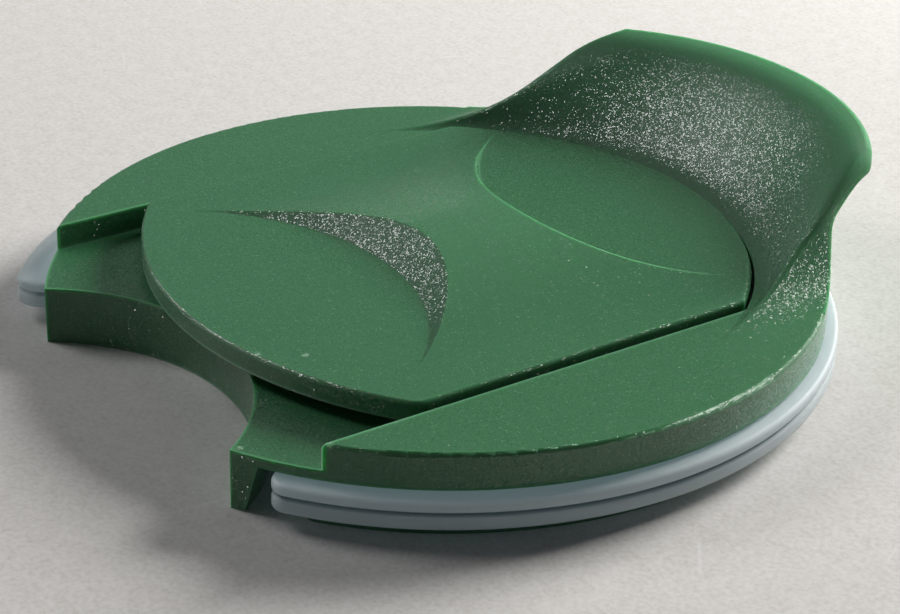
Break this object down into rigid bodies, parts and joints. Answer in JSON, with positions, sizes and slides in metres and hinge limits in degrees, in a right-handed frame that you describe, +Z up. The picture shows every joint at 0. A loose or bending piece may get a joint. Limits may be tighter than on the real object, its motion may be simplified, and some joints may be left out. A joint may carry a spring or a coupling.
{
  "type": "travel mug lid",
  "caption": "Round push-in lid for a travel mug, with a sliding mouth shutter, a raised thumb fin at the back and a double-lip seal round its plug.",
  "frame": {"origin": "on the axis of the round plug, at the level of the plug's bottom flange and skirt, which rest on a table", "axes": "+Z up out of the mug, +Y towards the thumb fin, -Y towards the mouth notch"},
  "size_m": [0.093, 0.0937, 0.0217],
  "materials": {
    "green_plastic": "moulded, fine spark-eroded texture",
    "green_plastic_slider": "moulded, fine spark-eroded texture",
    "seal_rubber": "smooth, translucent, milky"
  },
  "bodies": {
    "lid": {"lid_body": "green_plastic", "seal": "seal_rubber"},
    "shutter": {"slider": "green_plastic_slider"}
  },
  "joints": [
    {"name": "shutter_slide", "type": "slide", "parent": "lid", "child": "shutter", "axis": [0, -1, 0], "range_m": [0, 0.0125]}
  ]
}
